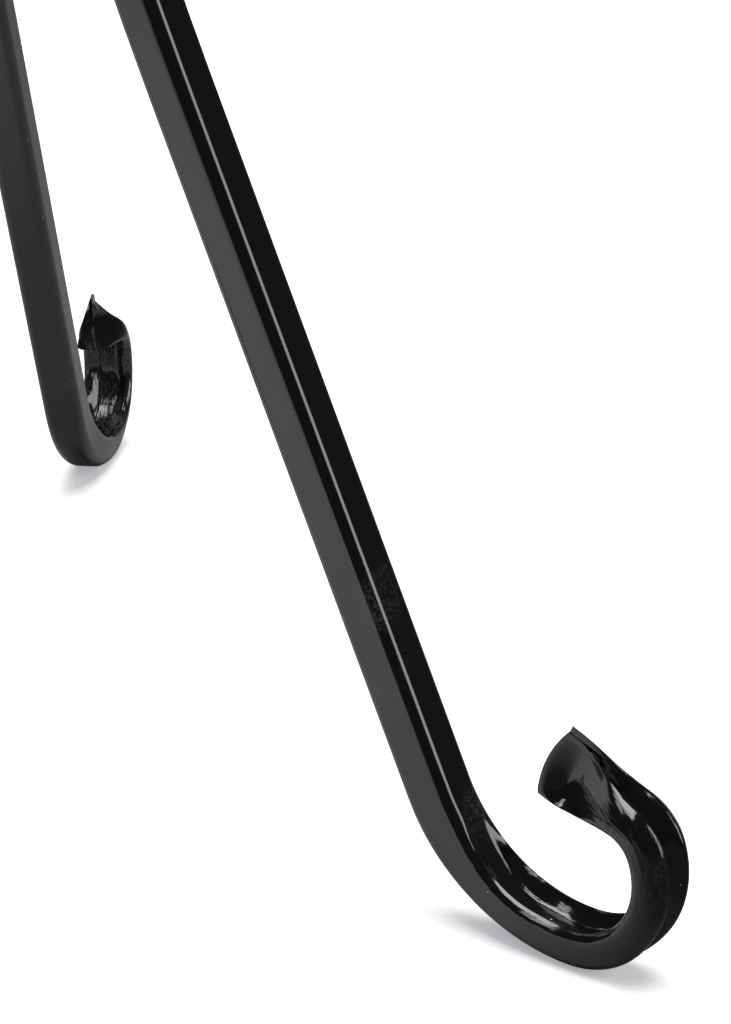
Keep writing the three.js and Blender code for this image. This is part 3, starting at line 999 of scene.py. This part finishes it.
SCREWS = screw_tree()
INSERTS = insert_tree()
for kind, width, seat in (("leg", LEG_WIDTH, LEG_SEAT), ("arm", ARM_WIDTH, ARM_SEAT)):
    first_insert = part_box(f"{kind}_1_insert_a")
    first_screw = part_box(f"{kind}_1_screw_a")
    under_head = seat + width / 2 + SEAT_GAP
    insert_face = first_insert[1].x - POLE_AXIS.x
    shank_length = under_head - (first_screw[0].x - POLE_AXIS.x)
    screw_values = {**SCREW_SIZES, "Shank Length": shank_length, "Material": ENAMEL}
    screws = grown(kind + "_screws", SCREWS, kind, under_head, screw_values)
    inserts = grown(
        kind + "_inserts", INSERTS, kind, insert_face, {**INSERT_SIZES, "Material": ZINC}
    )
    seats = [(k + 1, place) for k in range(COPIES) for place in "ab"]
    place_piece(screws, "enamel", *[f"{kind}_{k}_screw_{place}" for k, place in seats])
    place_piece(inserts, "zinc", *[f"{kind}_{k}_insert_{place}" for k, place in seats])

# ---- Floor, light and camera ----

FLOOR_HALF = 6
floor = add_object(
    "floor",
    [
        (-FLOOR_HALF, -FLOOR_HALF, 0),
        (FLOOR_HALF, -FLOOR_HALF, 0),
        (FLOOR_HALF, FLOOR_HALF, 0),
        (-FLOOR_HALF, FLOOR_HALF, 0),
    ],
    [(0, 1, 2, 3)],
    bpy.data.materials.new("white floor"),
)

# The camera sees a white floor with its shadows; reflections and bounced light see a grey one with
# painted light falloff:
# brightest in front, painted darker towards the back and to the right, in place of a lamp's
# falloff.
FLOOR_SHADE = 0.85
SHADOW_LIFT = (0.38, 1.0)
LIFT_REACH = (0.9, 2.2)
# Painted shade on the reflected floor: the grey falls from front to back
PAINTED_FLOOR_FALLOFF = ((0.0, 0.8), (0.3, 0.72), (0.47, 0.6), (0.56, 0.31), (1.0, 0.24))
FALL_FROM, FALL_TO = -0.75, 0.75
FLOOR_ROUGHNESS = 0.9
LIFT_COLOUR = (0.93, 0.96, 1, 1)
ROOM_LIGHT = {"To Min": 0.06, "To Max": 1.0}
# Painted shade on the reflected floor: darker towards the right
PAINTED_RIGHT_FALLOFF = (0.15, 0.27, 0.12)
floor_material = floor.data.materials[0]
floor_material.use_nodes = True
floor_tree = floor_material.node_tree
floor_shader = floor_tree.nodes["Principled BSDF"]
floor_place = node(floor_tree, "ShaderNodeTexCoord").outputs["Object"]
floor_axes = node(floor_tree, "ShaderNodeSeparateXYZ", {"Vector": floor_place})
# The reflected floor's grey is painted light falloff, darker towards the back and to the right
back_range = {"Value": floor_axes.outputs["Y"], "From Min": FALL_FROM, "From Max": FALL_TO}
towards_back = node(floor_tree, "ShaderNodeMapRange", back_range)
shade = node(floor_tree, "ShaderNodeValToRGB", {"Fac": towards_back.outputs[0]})
while len(shade.color_ramp.elements) < len(PAINTED_FLOOR_FALLOFF):
    shade.color_ramp.elements.new(0.5)
for element, (position, grey) in zip(shade.color_ramp.elements, PAINTED_FLOOR_FALLOFF):
    element.position = position
    element.color = (grey, grey, grey, 1)
right_range = {
    "Value": floor_axes.outputs["X"],
    "From Min": PAINTED_RIGHT_FALLOFF[0],
    "From Max": PAINTED_RIGHT_FALLOFF[1],
    "To Min": 1.0,
    "To Max": PAINTED_RIGHT_FALLOFF[2],
}
to_right = node(floor_tree, "ShaderNodeMapRange", right_range, interpolation_type="SMOOTHSTEP")
mirrored = {0: shade.outputs["Color"], 1: to_right.outputs[0]}
mirrored_shade = node(floor_tree, "ShaderNodeVectorMath", mirrored, operation="MULTIPLY")
floor_path = node(floor_tree, "ShaderNodeLightPath")
to_camera = floor_path.outputs["Is Camera Ray"]
camera_shade = (FLOOR_SHADE, FLOOR_SHADE, FLOOR_SHADE, 1)
seen = blend(floor_tree, to_camera, mirrored_shade.outputs[0], camera_shade)
floor_tree.links.new(seen, floor_shader.inputs["Base Color"])
floor_shader.inputs["Roughness"].default_value = FLOOR_ROUGHNESS
floor_shader.inputs["Specular IOR Level"].default_value = 0.0
floor_shader.inputs["Emission Color"].default_value = LIFT_COLOUR
reach = node(floor_tree, "ShaderNodeVectorMath", {0: floor_place}, operation="LENGTH")
lift_range = {
    "Value": reach.outputs["Value"],
    "From Min": LIFT_REACH[0],
    "From Max": LIFT_REACH[1],
    "To Min": SHADOW_LIFT[0],
    "To Max": SHADOW_LIFT[1],
}
lift = node(floor_tree, "ShaderNodeMapRange", lift_range)
lifted = node(
    floor_tree, "ShaderNodeMath", {0: to_camera, 1: lift.outputs[0]}, operation="MULTIPLY"
)
floor_tree.links.new(lifted.outputs[0], floor_shader.inputs["Emission Strength"])

world = bpy.data.worlds.new("studio")
scene.world = world
world.use_nodes = True
world_tree = world.node_tree
background = world_tree.nodes["Background"]
room_path = node(world_tree, "ShaderNodeLightPath")
strength = node(
    world_tree, "ShaderNodeMapRange", {"Value": room_path.outputs["Is Camera Ray"], **ROOM_LIGHT}
)
world_tree.links.new(strength.outputs["Result"], background.inputs["Strength"])
background.inputs["Color"].default_value = (1, 1, 1, 1)


def softbox(name, place, target, width, height, radiance):
    """A rectangular lamp of some brightness, which the camera doesn't see."""
    light = bpy.data.lights.new(name, "AREA")
    light.shape = "RECTANGLE"
    light.size = width
    light.size_y = height
    light.energy = radiance * math.pi * width * height
    lamp = bpy.data.objects.new(name, light)
    scene.collection.objects.link(lamp)
    away = Vector(place) - Vector(target)
    lamp.matrix_world = Matrix.Translation(place) @ away.to_track_quat(
        "Z", "Y"
    ).to_matrix().to_4x4()
    lamp.visible_camera = False


softbox("top softbox", (0.1, 0.0, 3.2), (0.1, 0, 0), width=2.6, height=2.6, radiance=7.0)
softbox("right strip", (3.0, 1.3, 1.5), (0.1, 0, 0.3), width=1.5, height=2.6, radiance=4.0)
softbox("left window", (-0.6, -1.6, 2.4), (0.2, 0, 0.1), width=0.8, height=0.8, radiance=4.0)

# The photograph's camera, from a fit of the bent tube to both legs' outlines
VIEW_YAW = math.radians(128.362)
VIEW_PITCH = math.radians(20.607)
VIEW_ROLL = math.radians(0.574)
FOCAL_PIXELS = 3036.712
FOOT_PIXEL = (581.051, 959.679)
FOOT_DISTANCE = 55.586 * LEG_WIDTH
FRAME_WIDTH, FRAME_HEIGHT = 731, 1024
SENSOR = 36

forward = Vector(
    (
        math.cos(VIEW_YAW) * math.cos(VIEW_PITCH),
        math.sin(VIEW_YAW) * math.cos(VIEW_PITCH),
        -math.sin(VIEW_PITCH),
    )
)
level_right = Vector((math.sin(VIEW_YAW), -math.cos(VIEW_YAW), 0))
level_down = forward.cross(level_right)
right = level_right * math.cos(VIEW_ROLL) + level_down * math.sin(VIEW_ROLL)
down = level_down * math.cos(VIEW_ROLL) - level_right * math.sin(VIEW_ROLL)
offset_right = (FOOT_PIXEL[0] - FRAME_WIDTH / 2) / FOCAL_PIXELS
offset_down = (FOOT_PIXEL[1] - FRAME_HEIGHT / 2) / FOCAL_PIXELS
eye = FOOT - (forward + right * offset_right + down * offset_down) * FOOT_DISTANCE

camera_data = bpy.data.cameras.new("camera")
camera_data.sensor_width = SENSOR
camera_data.lens = FOCAL_PIXELS * SENSOR / FRAME_HEIGHT
camera = bpy.data.objects.new("camera", camera_data)
scene.collection.objects.link(camera)
camera.matrix_world = Matrix.Translation(eye) @ Matrix(
    (right, -down, -forward)
).transposed().to_4x4()
scene.camera = camera
scene.view_settings.view_transform = "Standard"
